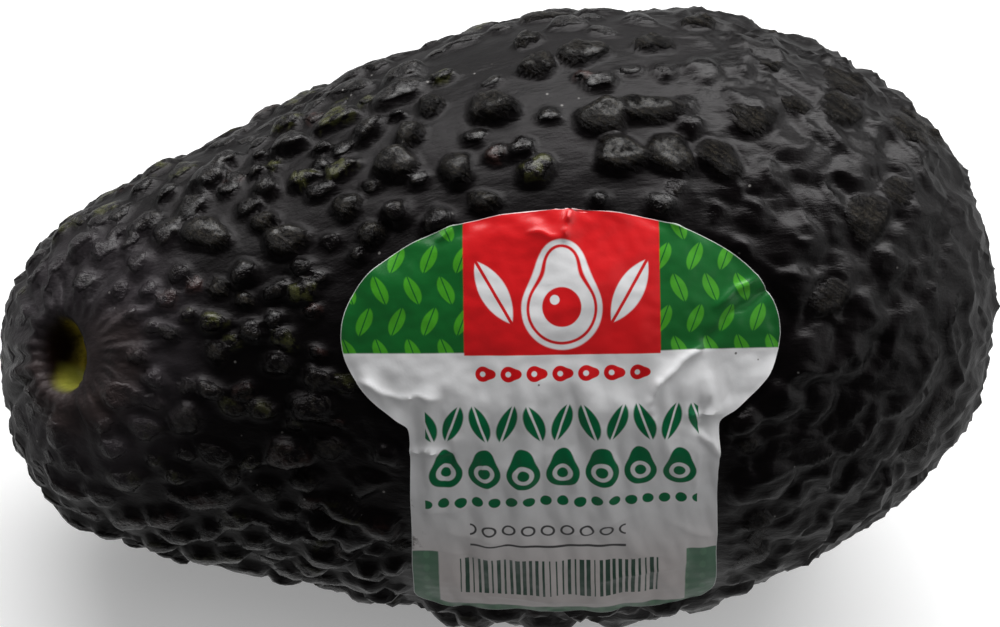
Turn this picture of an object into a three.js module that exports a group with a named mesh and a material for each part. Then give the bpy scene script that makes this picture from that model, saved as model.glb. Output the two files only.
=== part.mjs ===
// A ripe dark avocado lying on its side, with a thin film label stuck round its flank.
// Millimetres, +Z up. The stem end points to -X, the blossom end to +X, and the fruit rests at z = 0.
// The skin is described by formulas: the girth is a sum of waves along the fruit, and the warts, the
// folds round the stem and the stem hollow are heights measured outward from that smooth body.
import * as THREE from "three";
import { ConvexHull } from "three/addons/math/ConvexHull.js";

const DEGREE = Math.PI / 180;
const GOLDEN_ANGLE = Math.PI * (3 - Math.sqrt(5));

// The smooth body
const LENGTH = 109; // stem end to blossom end
const GIRTH_WAVES = [32.3, -2.9, 0.85, 0.95, 0.9]; // the radius in sine waves along the length
const END_DROOP = 0.7; // how far both ends bend away from the straight middle line
const LUMP_HEIGHT = 0.35; // slow unevenness of the whole body

// How it lies: the labelled side is turned up, the slim neck dips to the table
const SIDE_TURN = 60 * DEGREE;
const NECK_DIP = 6.5 * DEGREE;
const REST_FLAT_DEPTH = 0.7; // how much of the round belly the resting flat takes away

// The hollow where the stalk broke off, and the folds that run into it
const HOLLOW_ALONG = 17.3; // millimetres of skin from the very end
const HOLLOW_ROUND = 11 * DEGREE;
const HOLLOW_RADIUS = 4.6;
const HOLLOW_FLOOR_RADIUS = 2.2;
const HOLLOW_DEPTH = 4.6;
const DISH_RADIUS = 15; // the shallow dish that the hollow sits in
const DISH_DEPTH = 1.1;
const RIM_HEIGHT = 0.5;
const RIM_RADIUS = 6;
const FOLD_COUNT = 13;
const FOLD_HEIGHT = 0.42;
const FOLD_REACH = 17;

// Warts: [share of the length, distance between neighbours, width, height]
const WART_ZONES = [
  [0.0, 5.2, 2.6, 0.3],
  [0.12, 5.0, 2.9, 0.6],
  [0.3, 5.0, 3.3, 0.85],
  [0.45, 5.9, 3.8, 1.0],
  [0.62, 6.4, 4.2, 1.0],
  [0.74, 5.6, 4.6, 0.85],
  [0.86, 5.4, 5.2, 0.75],
  [1.0, 5.2, 5.0, 0.6],
];

// The most striking warts: [millimetres from the stem end, degrees round, width, height, stretch, lean]
const LANDMARK_WARTS = [
  [67, 43, 4.6, 1.2, 1.1, 0],
  [73, 52, 3.6, 0.9, 1.3, 20],
  [78, 54, 3.6, 0.8, 1.9, 5],
  [86, 57, 3.8, 0.8, 1.3, 0],
  [78, 36, 4.8, 1.2, 1.1, 10],
  [83, 37, 3.6, 0.8, 2.0, 0],
  [79, 28, 4.6, 1.1, 1.2, 30],
  [84, 27, 4.8, 1.1, 1.1, 0],
  [87, 33, 2.6, 0.8, 1.2, 0],
  [73, 63, 2.8, 0.8, 1.2, 0],
  [67, 72, 2.8, 0.8, 1.8, 10],
  [63, 57, 2.4, 0.7, 1.2, 0],
  [61, 49, 2.6, 0.8, 1.5, 80],
  [56, 36, 4.2, 1.2, 1.2, 0],
  [62, 31, 3.8, 1.1, 1.0, 0],
  [58, 42, 2.8, 0.9, 1.2, 0],
  [69, 32, 2.6, 0.7, 1.2, 0],
  [70, 27, 3.2, 0.9, 1.3, 40],
  [64, 23, 2.7, 0.9, 1.1, 0],
  [51, 56, 3.2, 0.9, 1.9, 5],
  [55, 25, 2.8, 0.9, 1.1, 0],
  [52, 22, 2.6, 0.8, 1.2, 0],
  [59, 21, 3.2, 1.0, 1.1, 0],
  [46, 65, 3.2, 0.9, 1.2, 0],
  [43, 26, 4.0, 1.1, 1.1, 0],
  [46, 41, 2.8, 0.8, 1.3, 0],
  [42, 43, 2.8, 0.8, 1.2, 0],
  [50, 30, 2.8, 0.8, 1.2, 0],
  [38, 21, 2.8, 0.8, 1.2, 0],
  [44, 13, 2.8, 0.8, 1.2, 0],
  [41, 33, 2.4, 0.8, 1.2, 0],
  [34, 10, 2.5, 0.8, 1.3, 0],
  [38, 6, 2.5, 0.8, 1.2, 0],
  [34, 2, 2.4, 0.7, 1.2, 0],
  [31, 26, 2.4, 0.7, 1.2, 0],
  [30, -16, 3.6, 0.9, 1.0, 0],
  [45, -24, 2.8, 0.8, 1.2, 0],
  [38, -14, 2.6, 0.8, 1.2, 0],
  [51, -26, 2.6, 0.8, 1.2, 0],
  [38, -38, 2.8, 0.8, 1.2, 0],
];

// The label: a round-shouldered top with a straight tab that hangs round the flank
const LABEL_ALONG = 70.2;
const LABEL_ROUND = -3.6 * DEGREE;
const LABEL_LEAN = 5.5 * DEGREE; // it was put on a little askew
const LABEL_DRIFT = 0.0028; // a straight strip drifts towards the wide end as it goes round
const LABEL_HALF_WIDTH = 22.9;
const LABEL_TOP_HEIGHT = 12.7;
const TAB_HALF_WIDTH = 15.9;
const TAB_BOTTOM = -39.5;
const TAB_CORNER = 4.5;
const SHOULDER_FILLET = 1.8;
const LABEL_THICKNESS = 0.4;
const LABEL_GAP = 0.45; // clear height between the skin and the back of the film
const LABEL_WAVE = 0.22; // the film lies unevenly over the warts
const LABEL_MARGIN = 0.8; // the skin is smooth a little way beyond the label's edge

// How closely the surfaces are covered with points
const BARE_SPACING = 2.5;
const COVERED_SPACING = 4.2;
const BROAD_WART = 3.0; // wider warts get a ring of points on their slopes too
const LABEL_SPACING = 2.7;
const LABEL_EDGE_STEP = 1.7;

// Small helpers

// A repeatable number from 0 to 1 for item i and purpose k.
function chance(i, k) {
  const v = Math.sin(i * 12.9898 + k * 78.233) * 43758.5453;
  return v - Math.floor(v);
}

function smoothstep(from, to, v) {
  const t = Math.min(1, Math.max(0, (v - from) / (to - from)));
  return t * t * (3 - 2 * t);
}

// Reads column c of rows whose first column is the share t, with straight lines between the rows.
function between(rows, t, c) {
  let i = 1;
  while (i < rows.length - 1 && rows[i][0] < t) i++;
  const k = Math.min(1, Math.max(0, (t - rows[i - 1][0]) / (rows[i][0] - rows[i - 1][0])));
  return rows[i - 1][c] + k * (rows[i][c] - rows[i - 1][c]);
}

// The smooth body, measured along the skin

// One meridian of the body in fine steps: skin length, x, radius, and the angle from the pole of the
// round ball onto which the body maps without distorting small shapes.
function makeMeridian(steps) {
  const rows = [];
  let length = 0;
  let stretch = 0;
  for (let i = 0; i <= steps; i++) {
    const turn = (Math.PI * i) / steps;
    const x = (-LENGTH / 2) * Math.cos(turn);
    const r = GIRTH_WAVES.reduce((sum, wave, k) => sum + wave * Math.sin((k + 1) * turn), 0);
    if (i > 0) {
      const step = Math.hypot(x - rows[i - 1].x, r - rows[i - 1].r);
      length += step;
      if (i > 1) stretch += (2 * step) / (r + rows[i - 1].r || 1);
    }
    rows.push({ length, x, r: Math.max(r, 0), stretch });
  }
  return rows;
}

const MERIDIAN = makeMeridian(4000);
const SKIN_LENGTH = MERIDIAN[MERIDIAN.length - 1].length;
const MIDDLE_STRETCH = onMeridian(SKIN_LENGTH / 2).stretch;

// The body's x, radius and ball stretch at a length along the skin.
function onMeridian(along) {
  let low = 0;
  let high = MERIDIAN.length - 1;
  while (high - low > 1) {
    const mid = (low + high) >> 1;
    if (MERIDIAN[mid].length < along) low = mid;
    else high = mid;
  }
  const a = MERIDIAN[low];
  const b = MERIDIAN[high];
  const k = (along - a.length) / (b.length - a.length);
  return {
    x: a.x + k * (b.x - a.x),
    r: a.r + k * (b.r - a.r),
    stretch: a.stretch + k * (b.stretch - a.stretch),
  };
}

// A point of the smooth body, before the fruit is laid down.
function bodyPoint(along, round) {
  const m = onMeridian(along);
  const share = (2 * m.x) / LENGTH;
  const lumps = Math.sin(2 * round + 1.1 + 2 * share) + 0.6 * Math.sin(3 * round - 3 * share);
  const r = m.r + LUMP_HEIGHT * lumps * (1 - share * share);
  return new THREE.Vector3(m.x, -r * Math.cos(round), r * Math.sin(round) - END_DROOP * share * share);
}

// The point with its outward direction and the direction along the skin.
function bodyFrame(along, round) {
  const a = Math.min(SKIN_LENGTH - 0.3, Math.max(0.3, along));
  const point = bodyPoint(along, round);
  const ahead = bodyPoint(a + 0.1, round).sub(bodyPoint(a - 0.1, round)).normalize();
  const side = bodyPoint(a, round + 0.01).sub(bodyPoint(a, round - 0.01)).normalize();
  const out = side.clone().cross(ahead).negate().normalize();
  return { point, ahead, side, out };
}

function ballPoint(along, round) {
  const polar = 2 * Math.atan(Math.exp(onMeridian(along).stretch - MIDDLE_STRETCH));
  const r = Math.sin(polar);
  return new THREE.Vector3(-Math.cos(polar), -r * Math.cos(round), r * Math.sin(round));
}

// The place on the skin that maps to a point of the ball.
function fromBall(v) {
  const polar = Math.acos(Math.min(1, Math.max(-1, -v.x)));
  const stretch = Math.log(Math.tan(polar / 2)) + MIDDLE_STRETCH;
  let low = 0;
  let high = MERIDIAN.length - 1;
  while (high - low > 1) {
    const mid = (low + high) >> 1;
    if (MERIDIAN[mid].stretch < stretch) low = mid;
    else high = mid;
  }
  const a = MERIDIAN[low];
  const b = MERIDIAN[high];
  const k = Math.min(1, Math.max(0, (stretch - a.stretch) / (b.stretch - a.stretch || 1)));
  return { along: a.length + k * (b.length - a.length), round: Math.atan2(v.z, -v.y) };
}

// The label's outline and where it lies on the skin

// The label's flat outline: an oval top that runs into the tab through softened inner corners.
function makeLabelOutline() {
  const join = Math.acos(TAB_HALF_WIDTH / LABEL_HALF_WIDTH); // where the oval meets the tab's sides
  const soft = 0.16; // how much of a turn before it the softened corner begins
  const w = TAB_HALF_WIDTH;
  const low = TAB_BOTTOM + TAB_CORNER;
  const neck = -LABEL_TOP_HEIGHT * Math.sin(join);
  const path = new THREE.Path();
  path.absellipse(0, 0, LABEL_HALF_WIDTH, LABEL_TOP_HEIGHT, soft - join, Math.PI + join - soft, false);
  path.quadraticCurveTo(-w, neck, -w, neck - SHOULDER_FILLET);
  path.lineTo(-w, low);
  path.absarc(TAB_CORNER - w, low, TAB_CORNER, Math.PI, 1.5 * Math.PI, false);
  path.lineTo(w - TAB_CORNER, TAB_BOTTOM);
  path.absarc(w - TAB_CORNER, low, TAB_CORNER, 1.5 * Math.PI, 2 * Math.PI, false);
  path.lineTo(w, neck - SHOULDER_FILLET);
  path.quadraticCurveTo(w, neck, ...path.getPoint(0).toArray());
  const count = Math.round(path.getLength() / LABEL_EDGE_STEP);
  return path.getSpacedPoints(count).slice(0, count).map((p) => [p.x, p.y]);
}

const LABEL_OUTLINE = makeLabelOutline();

// How far a flat place lies inside the label's outline (negative when it is outside).
function insideLabel(u, v) {
  let nearest = Infinity;
  let inside = false;
  for (let i = 0, j = LABEL_OUTLINE.length - 1; i < LABEL_OUTLINE.length; j = i++) {
    const [ax, ay] = LABEL_OUTLINE[j];
    const [bx, by] = LABEL_OUTLINE[i];
    const k = ((u - ax) * (bx - ax) + (v - ay) * (by - ay)) / ((bx - ax) ** 2 + (by - ay) ** 2);
    const t = Math.min(1, Math.max(0, k));
    nearest = Math.min(nearest, Math.hypot(u - ax - t * (bx - ax), v - ay - t * (by - ay)));
    if (ay > v !== by > v && u < ((bx - ax) * (v - ay)) / (by - ay) + ax) inside = !inside;
  }
  return inside ? nearest : -nearest;
}

// From the label's flat sheet (u to the right, v up) to the skin.
function labelToSkin(u, v) {
  const c = Math.cos(LABEL_LEAN);
  const s = Math.sin(LABEL_LEAN);
  const girthwise = -u * s + v * c;
  const along = LABEL_ALONG + u * c + v * s + LABEL_DRIFT * girthwise * girthwise;
  return { along, round: LABEL_ROUND + girthwise / onMeridian(along).r };
}

// From the skin to the label's flat sheet.
function skinToLabel(along, round) {
  const turn = Math.atan2(Math.sin(round - LABEL_ROUND), Math.cos(round - LABEL_ROUND));
  const girthwise = turn * onMeridian(along).r;
  const a = along - LABEL_ALONG - LABEL_DRIFT * girthwise * girthwise;
  const c = Math.cos(LABEL_LEAN);
  const s = Math.sin(LABEL_LEAN);
  return [a * c - girthwise * s, a * s + girthwise * c];
}

// The relief of the skin

const HOLLOW = bodyFrame(HOLLOW_ALONG, HOLLOW_ROUND);

// How far a body point lies from the middle of the hollow, across the hollow's mouth, and which way.
function fromHollow(point) {
  const d = point.clone().sub(HOLLOW.point);
  if (d.dot(HOLLOW.out) < -16) return { distance: 99, angle: 0 };
  const a = d.dot(HOLLOW.ahead);
  const b = d.dot(HOLLOW.side);
  return { distance: Math.hypot(a, b), angle: Math.atan2(b, a) };
}

// Lays the fruit down: turned about its length, then dipped at the neck.
function layDown(v) {
  const turned = v.clone().applyAxisAngle(new THREE.Vector3(1, 0, 0), -SIDE_TURN);
  return turned.applyAxisAngle(new THREE.Vector3(0, 1, 0), -NECK_DIP);
}

const BODY_BOTTOM = lowestOfBody();

function lowestOfBody() {
  let lowest = Infinity;
  for (let a = 20; a < SKIN_LENGTH; a += 0.5) {
    for (let k = 0; k < 360; k += 2) lowest = Math.min(lowest, layDown(bodyPoint(a, k * DEGREE)).z);
  }
  return lowest;
}

// 1 on open skin, falling to 0 under the label and on the resting flat.
function bareness(along, round) {
  const [u, v] = skinToLabel(along, round);
  const clear = smoothstep(-LABEL_MARGIN, -LABEL_MARGIN - 1, Math.abs(u) < 40 ? insideLabel(u, v) : -9);
  const height = layDown(bodyPoint(along, round)).z - BODY_BOTTOM;
  return clear * smoothstep(0.5, 1.6, height);
}

// All warts: the striking ones, then an even spread that leaves room for them.
function makeWarts() {
  const warts = LANDMARK_WARTS.map(([along, degrees, width, height, stretch, lean]) => {
    const f = bodyFrame(along, degrees * DEGREE);
    return { along, round: degrees * DEGREE, width, height, stretch, lean: lean * DEGREE, ...f };
  });
  const striking = warts.length;
  let room = 0;
  let count = 0;
  const step = 0.25;
  for (let along = step / 2; along < SKIN_LENGTH; along += step) {
    const spacing = between(WART_ZONES, along / SKIN_LENGTH, 1);
    room += (2 * Math.PI * onMeridian(along).r * step) / (0.87 * spacing * spacing);
    for (; count < room; count++) addWart(warts, striking, along, count);
  }
  return warts;
}

function addWart(warts, striking, row, i) {
  const spacing = between(WART_ZONES, row / SKIN_LENGTH, 1);
  const along = row + spacing * 0.55 * (chance(i, 1) - 0.5);
  if (along < 1 || along > SKIN_LENGTH - 0.5) return;
  const round = i * GOLDEN_ANGLE + (spacing * 0.55 * (chance(i, 2) - 0.5)) / Math.max(2, onMeridian(along).r);
  const f = bodyFrame(along, round);
  if (fromHollow(f.point).distance < HOLLOW_RADIUS + 4) return;
  const tooNear = (w) => w.point.distanceTo(f.point) < 0.62 * (spacing + w.width / 2);
  if (warts.slice(0, striking).some(tooNear)) return;
  const size = 0.75 + 0.55 * chance(i, 3);
  warts.push({
    along,
    round,
    width: size * between(WART_ZONES, along / SKIN_LENGTH, 2),
    height: (0.6 + 0.7 * chance(i, 4)) * between(WART_ZONES, along / SKIN_LENGTH, 3),
    stretch: 1.05 + 0.45 * chance(i, 5),
    lean: (chance(i, 6) - 0.5) * 1.2,
    ...f,
  });
}

const WARTS = makeWarts().filter((w) => bareness(w.along, w.round) > 0.5);

// The height of the tallest wart over a body point: each one is a dome with a soft foot.
function wartHeight(point) {
  let height = 0;
  for (const w of WARTS) {
    const reach = (w.width * w.stretch) / 2;
    const dx = point.x - w.point.x;
    if (Math.abs(dx) > reach) continue;
    const dy = point.y - w.point.y;
    const dz = point.z - w.point.z;
    if (dx * dx + dy * dy + dz * dz > reach * reach) continue;
    const a = dx * w.ahead.x + dy * w.ahead.y + dz * w.ahead.z;
    const b = dx * w.side.x + dy * w.side.y + dz * w.side.z;
    const c = Math.cos(w.lean);
    const s = Math.sin(w.lean);
    const q = ((a * c + b * s) / w.stretch) ** 2 + (b * c - a * s) ** 2;
    const t = 1 - q / (w.width / 2) ** 2;
    if (t > 0) height = Math.max(height, w.height * t * (1.6 - 0.6 * t));
  }
  return height;
}

// The folds and the dish round the hollow, outward positive.
function stemHeight(distance, angle) {
  const near = 1 - smoothstep(HOLLOW_RADIUS, FOLD_REACH, distance);
  const wobble = 1.3 * Math.sin(2 * angle + 1) + 0.2 * distance;
  const folds = Math.cos(FOLD_COUNT * angle + wobble) * (0.7 + 0.3 * Math.sin(3 * angle));
  const rim = RIM_HEIGHT * Math.exp(-(((distance - RIM_RADIUS) / 1.6) ** 2));
  const dish = DISH_DEPTH * (1 - smoothstep(0, DISH_RADIUS, distance));
  const start = smoothstep(HOLLOW_RADIUS, HOLLOW_RADIUS + 2.5, distance);
  return FOLD_HEIGHT * near * start * folds + rim - dish;
}

// The skin's real surface over a place of the smooth body.
function skinPoint(along, round) {
  const { point, out } = bodyFrame(along, round);
  const { distance, angle } = fromHollow(point);
  const height = wartHeight(point) * bareness(along, round) + stemHeight(distance, angle);
  const hollow = HOLLOW_DEPTH * (1 - smoothstep(HOLLOW_FLOOR_RADIUS, HOLLOW_RADIUS, distance));
  return point.clone().addScaledVector(out, height).addScaledVector(HOLLOW.out, -hollow);
}

// Points and triangles

// Collects places on the skin and keeps them apart by a wanted distance.
class Places {
  constructor(cell) {
    this.cell = cell;
    this.grid = new Map();
    this.list = [];
  }

  key(p, i, j, k) {
    const c = this.cell;
    return `${Math.floor(p.x / c) + i},${Math.floor(p.y / c) + j},${Math.floor(p.z / c) + k}`;
  }

  isFree(p, distance) {
    for (let i = -1; i < 2; i++) {
      for (let j = -1; j < 2; j++) {
        for (let k = -1; k < 2; k++) {
          const near = this.grid.get(this.key(p, i, j, k)) || [];
          if (near.some((q) => q.distanceTo(p) < distance)) return false;
        }
      }
    }
    return true;
  }

  add(along, round, distance) {
    const p = bodyPoint(along, round);
    if (!this.isFree(p, distance)) return;
    const key = this.key(p, 0, 0, 0);
    if (!this.grid.has(key)) this.grid.set(key, []);
    this.grid.get(key).push(p);
    this.list.push({ along, round });
  }
}

// Rings of places round the middle of the hollow.
function addHollowRings(places) {
  const centre = ballPoint(HOLLOW_ALONG, HOLLOW_ROUND);
  const east = new THREE.Vector3(0, 0, 1).cross(centre).normalize();
  const north = centre.clone().cross(east);
  const scale = ballPoint(HOLLOW_ALONG + 1, HOLLOW_ROUND).distanceTo(centre);
  const rings = [[0, 1], [1.2, 8], [2.2, 18], [2.9, 26], [3.6, 32], [4.2, 36], [4.7, 40], [5.4, 44]];
  rings.push([6.2, 52], [7.4, 52], [8.8, 52], [10.4, 52], [12.2, 56], [14.2, 60]);
  rings.forEach(([radius, count], ring) => {
    for (let i = 0; i < count; i++) {
      const a = (2 * Math.PI * (i + 0.5 * (ring % 2) + 0.12 * chance(i, ring + 20))) / count;
      const d = radius * scale * (1 + 0.02 * chance(i, ring + 50));
      const v = centre.clone().addScaledVector(east, d * Math.cos(a)).addScaledVector(north, d * Math.sin(a));
      const { along, round } = fromBall(v.normalize());
      places.add(along, round, 0.2);
    }
  });
}

// A ring of places round a wart at a share of its size.
function addWartRing(places, w, share, count, distance) {
  const r = onMeridian(w.along).r;
  for (let k = 0; k < count; k++) {
    const t = (2 * Math.PI * (k + 0.5 * chance(w.along, 9))) / count;
    const a = (share * w.width * w.stretch * Math.cos(t)) / 2;
    const b = (share * w.width * Math.sin(t)) / 2;
    const c = Math.cos(w.lean);
    const s = Math.sin(w.lean);
    const along = Math.min(SKIN_LENGTH - 0.4, Math.max(0.4, w.along + a * c - b * s));
    places.add(along, w.round + (a * s + b * c) / Math.max(r, 1.5), distance);
  }
}

function makeSkinPlaces() {
  const places = new Places(4);
  addHollowRings(places);
  for (const w of WARTS) places.add(w.along, w.round, 0.8);
  for (const w of WARTS) if (w.width > BROAD_WART) addWartRing(places, w, 0.6, 5, 0.9);
  for (const w of WARTS) addWartRing(places, w, 1.02, w.width > BROAD_WART ? 8 : 6, 1.1);
  let room = 0;
  let count = 0;
  for (let along = 0.4; along < SKIN_LENGTH - 0.3; along += 0.1) {
    room += 2 * Math.PI * onMeridian(along).r * 0.1;
    for (; count < room; count++) {
      const round = count * GOLDEN_ANGLE;
      const covered = insideLabel(...skinToLabel(along, round)) > 0;
      places.add(along, round, covered ? COVERED_SPACING : BARE_SPACING);
    }
  }
  return places.list;
}

// The triangles of the convex hull of points on a ball: the best triangles between neighbours.
function hullTriangles(points) {
  const index = new Map(points.map((p, i) => [p, i]));
  const triangles = [];
  for (const face of new ConvexHull().setFromPoints(points).faces) {
    const e = face.edge;
    triangles.push([e.head().point, e.next.head().point, e.next.next.head().point].map((p) => index.get(p)));
  }
  return triangles;
}

function toGeometry(points, triangles) {
  const g = new THREE.BufferGeometry();
  g.setAttribute("position", new THREE.Float32BufferAttribute(points.flatMap((p) => [p.x, p.y, p.z]), 3));
  g.setIndex(triangles.flat());
  g.computeVertexNormals();
  return g;
}

// The whole fruit as one closed skin.
function makeFruit() {
  const places = makeSkinPlaces();
  const triangles = hullTriangles(places.map((p) => ballPoint(p.along, p.round)));
  const floor = BODY_BOTTOM + REST_FLAT_DEPTH;
  const points = places.map((p) => {
    const v = layDown(skinPoint(p.along, p.round));
    v.z = Math.max(v.z, floor);
    return v;
  });
  return toGeometry(points, triangles);
}

// How high the back of the label lies over the smooth body.
function labelLift(u, v) {
  const waves = Math.sin(0.62 * u + 1.3 * Math.sin(0.31 * v)) + Math.sin(0.55 * v - 0.9 * Math.sin(0.4 * u));
  return LABEL_GAP + LABEL_WAVE * (1 + 0.5 * waves);
}

// The label: two sheets joined round the outline.
function makeLabel() {
  const flat = [...LABEL_OUTLINE];
  const edge = flat.length;
  const row = LABEL_SPACING * 0.866;
  for (let j = -20; j < 12; j++) {
    for (let i = -12; i < 13; i++) {
      const u = LABEL_SPACING * (i + 0.5 * (j & 1)) + 0.15 * chance(i, j);
      const v = row * j + 0.15 * chance(j, i);
      if (insideLabel(u, v) > 0.55 * LABEL_SPACING) flat.push([u, v]);
    }
  }
  const ball = flat.map(([u, v]) => {
    const x = u / 25;
    const y = (v + 14) / 25;
    const d = x * x + y * y + 1;
    return new THREE.Vector3((2 * x) / d, (2 * y) / d, (d - 2) / d);
  });
  const face = hullTriangles(ball)
    .map(([a, b, c]) => [a, c, b])
    .filter((t) => {
      const [a, b, c] = t.map((i) => flat[i]);
      const facesUp = (b[0] - a[0]) * (c[1] - a[1]) > (b[1] - a[1]) * (c[0] - a[0]);
      return facesUp && insideLabel((a[0] + b[0] + c[0]) / 3, (a[1] + b[1] + c[1]) / 3) > 0.03;
    });
  const n = flat.length;
  const triangles = face.flatMap(([a, b, c]) => [[a, b, c], [a + n, c + n, b + n]]);
  for (let i = 0; i < edge; i++) {
    const j = (i + 1) % edge;
    triangles.push([j, i, i + n], [j, i + n, j + n]);
  }
  const at = (extra) => ([u, v]) => {
    const { along, round } = labelToSkin(u, v);
    const f = bodyFrame(along, round);
    return layDown(f.point.addScaledVector(f.out, labelLift(u, v) + extra));
  };
  return toGeometry([...flat.map(at(LABEL_THICKNESS)), ...flat.map(at(0))], triangles);
}

const skin = new THREE.MeshStandardMaterial({ color: 0x17120f, roughness: 0.6 });
const film = new THREE.MeshStandardMaterial({ color: 0xd8d8d6, roughness: 0.35 });

function node(name, geometry, material) {
  const mesh = new THREE.Mesh(geometry, material);
  mesh.name = name;
  return mesh;
}

const avocado = new THREE.Group();
avocado.name = "avocado_fruit";
avocado.add(node("avocado", makeFruit(), skin));
avocado.add(node("label", makeLabel(), film));

// The part stands in the middle of its own box, with its lowest point at z = 0.
const box = new THREE.Box3().setFromObject(avocado);
const middle = box.getCenter(new THREE.Vector3());
for (const mesh of avocado.children) mesh.geometry.translate(-middle.x, -middle.y, -box.min.z);

export default avocado;
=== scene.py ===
"""A ripe dark avocado with a creased film label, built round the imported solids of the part.

The skin and the label are worked out in millimetres on the smooth body of the fruit, as the part's
source does, and are laid down and turned to metres at the end.
"""

import math

import bpy
import numpy as np
from bpy.props import FloatProperty, FloatVectorProperty, IntProperty, PointerProperty
from mathutils import Matrix, Vector, noise


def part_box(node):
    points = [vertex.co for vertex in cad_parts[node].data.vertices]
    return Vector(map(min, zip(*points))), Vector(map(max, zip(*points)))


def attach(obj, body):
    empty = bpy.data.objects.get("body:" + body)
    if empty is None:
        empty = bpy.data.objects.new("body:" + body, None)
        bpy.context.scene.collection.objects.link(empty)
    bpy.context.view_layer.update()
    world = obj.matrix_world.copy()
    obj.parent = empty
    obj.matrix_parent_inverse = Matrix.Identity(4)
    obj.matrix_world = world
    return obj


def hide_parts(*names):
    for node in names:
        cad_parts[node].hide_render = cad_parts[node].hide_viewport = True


bl_info = {
    "name": "Ripe Avocado",
    "version": (1, 0, 0),
    "blender": (4, 5, 0),
    "location": "View3D > Sidebar > Avocado",
    "description": "Models a ripe dark avocado with a film label on a plain studio floor",
    "category": "Add Mesh",
}

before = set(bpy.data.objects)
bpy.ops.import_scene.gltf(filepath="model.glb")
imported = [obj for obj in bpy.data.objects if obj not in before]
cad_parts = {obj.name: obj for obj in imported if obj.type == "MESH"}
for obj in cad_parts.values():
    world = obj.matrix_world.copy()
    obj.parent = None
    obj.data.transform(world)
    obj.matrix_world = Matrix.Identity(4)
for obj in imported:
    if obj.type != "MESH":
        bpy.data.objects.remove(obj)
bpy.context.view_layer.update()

MM = 0.001

# The smooth body, with the same numbers as the part's source, in millimetres
LENGTH = 109.0
GIRTH_WAVES = (32.3, -2.9, 0.85, 0.95, 0.9)
END_DROOP = 0.7
LUMP_HEIGHT = 0.35
SIDE_TURN = math.radians(60)
NECK_DIP = math.radians(6.5)
REST_FLAT_DEPTH = 0.7
BODY_BOTTOM = -32.32
BOX_MIDDLE = (0.347, -0.132)

# The stem hollow
HOLLOW_ALONG = 17.3
HOLLOW_ROUND = math.radians(11)
HOLLOW_RADIUS = 4.6
HOLLOW_DEPTH = 4.6
DISH_RADIUS = 15.0
DISH_DEPTH = 1.1
RIM_HEIGHT = 0.5
RIM_RADIUS = 6.0
FOLD_COUNT = 13
FOLD_HEIGHT = 0.42
FOLD_REACH = 17.0
NOTCH_DEPTH = 0.7

# The torn oval in the hollow: its middle and its stretch, along the skin and round it
TORN_MIDDLE = (-1.8, 0.3)
TORN_STRETCH = (0.78, 1.06)

# Warts: share of the length, distance between neighbours, width, height
WART_ZONES = np.array(
    [
        [0.0, 5.2, 2.6, 0.3],
        [0.12, 5.0, 2.9, 0.6],
        [0.3, 5.0, 3.3, 0.85],
        [0.45, 5.9, 3.8, 1.0],
        [0.62, 6.4, 4.2, 1.0],
        [0.74, 5.6, 4.6, 0.85],
        [0.86, 5.4, 5.2, 0.75],
        [1.0, 5.2, 5.0, 0.6],
    ]
)

# The most striking warts: millimetres from the stem end, degrees round, width, height, stretch, lean
LANDMARK_WARTS = (
    (67, 43, 4.6, 1.2, 1.1, 0),
    (73, 52, 3.6, 0.9, 1.3, 20),
    (78, 54, 3.6, 0.8, 1.9, 5),
    (86, 57, 3.8, 0.8, 1.3, 0),
    (78, 36, 4.8, 1.2, 1.1, 10),
    (83, 37, 3.6, 0.8, 2.0, 0),
    (79, 28, 4.6, 1.1, 1.2, 30),
    (84, 27, 4.8, 1.1, 1.1, 0),
    (87, 33, 2.6, 0.8, 1.2, 0),
    (73, 63, 2.8, 0.8, 1.2, 0),
    (67, 72, 2.8, 0.8, 1.8, 10),
    (63, 57, 2.4, 0.7, 1.2, 0),
    (61, 49, 2.6, 0.8, 1.5, 80),
    (56, 36, 4.2, 1.2, 1.2, 0),
    (62, 31, 3.8, 1.1, 1.0, 0),
    (58, 42, 2.8, 0.9, 1.2, 0),
    (69, 32, 2.6, 0.7, 1.2, 0),
    (70, 27, 3.2, 0.9, 1.3, 40),
    (64, 23, 2.7, 0.9, 1.1, 0),
    (51, 56, 3.2, 0.9, 1.9, 5),
    (55, 25, 2.8, 0.9, 1.1, 0),
    (52, 22, 2.6, 0.8, 1.2, 0),
    (59, 21, 3.2, 1.0, 1.1, 0),
    (46, 65, 3.2, 0.9, 1.2, 0),
    (43, 26, 4.0, 1.1, 1.1, 0),
    (46, 41, 2.8, 0.8, 1.3, 0),
    (42, 43, 2.8, 0.8, 1.2, 0),
    (50, 30, 2.8, 0.8, 1.2, 0),
    (38, 21, 2.8, 0.8, 1.2, 0),
    (44, 13, 2.8, 0.8, 1.2, 0),
    (41, 33, 2.4, 0.8, 1.2, 0),
    (34, 10, 2.5, 0.8, 1.3, 0),
    (38, 6, 2.5, 0.8, 1.2, 0),
    (34, 2, 2.4, 0.7, 1.2, 0),
    (31, 26, 2.4, 0.7, 1.2, 0),
    (30, -16, 3.6, 0.9, 1.0, 0),
    (45, -24, 2.8, 0.8, 1.2, 0),
    (38, -14, 2.6, 0.8, 1.2, 0),
    (51, -26, 2.6, 0.8, 1.2, 0),
    (38, -38, 2.8, 0.8, 1.2, 0),
)

# Thin crests between the soft lumps of the blossom end and the low flank
CREST_HEIGHT = 0.6

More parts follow.
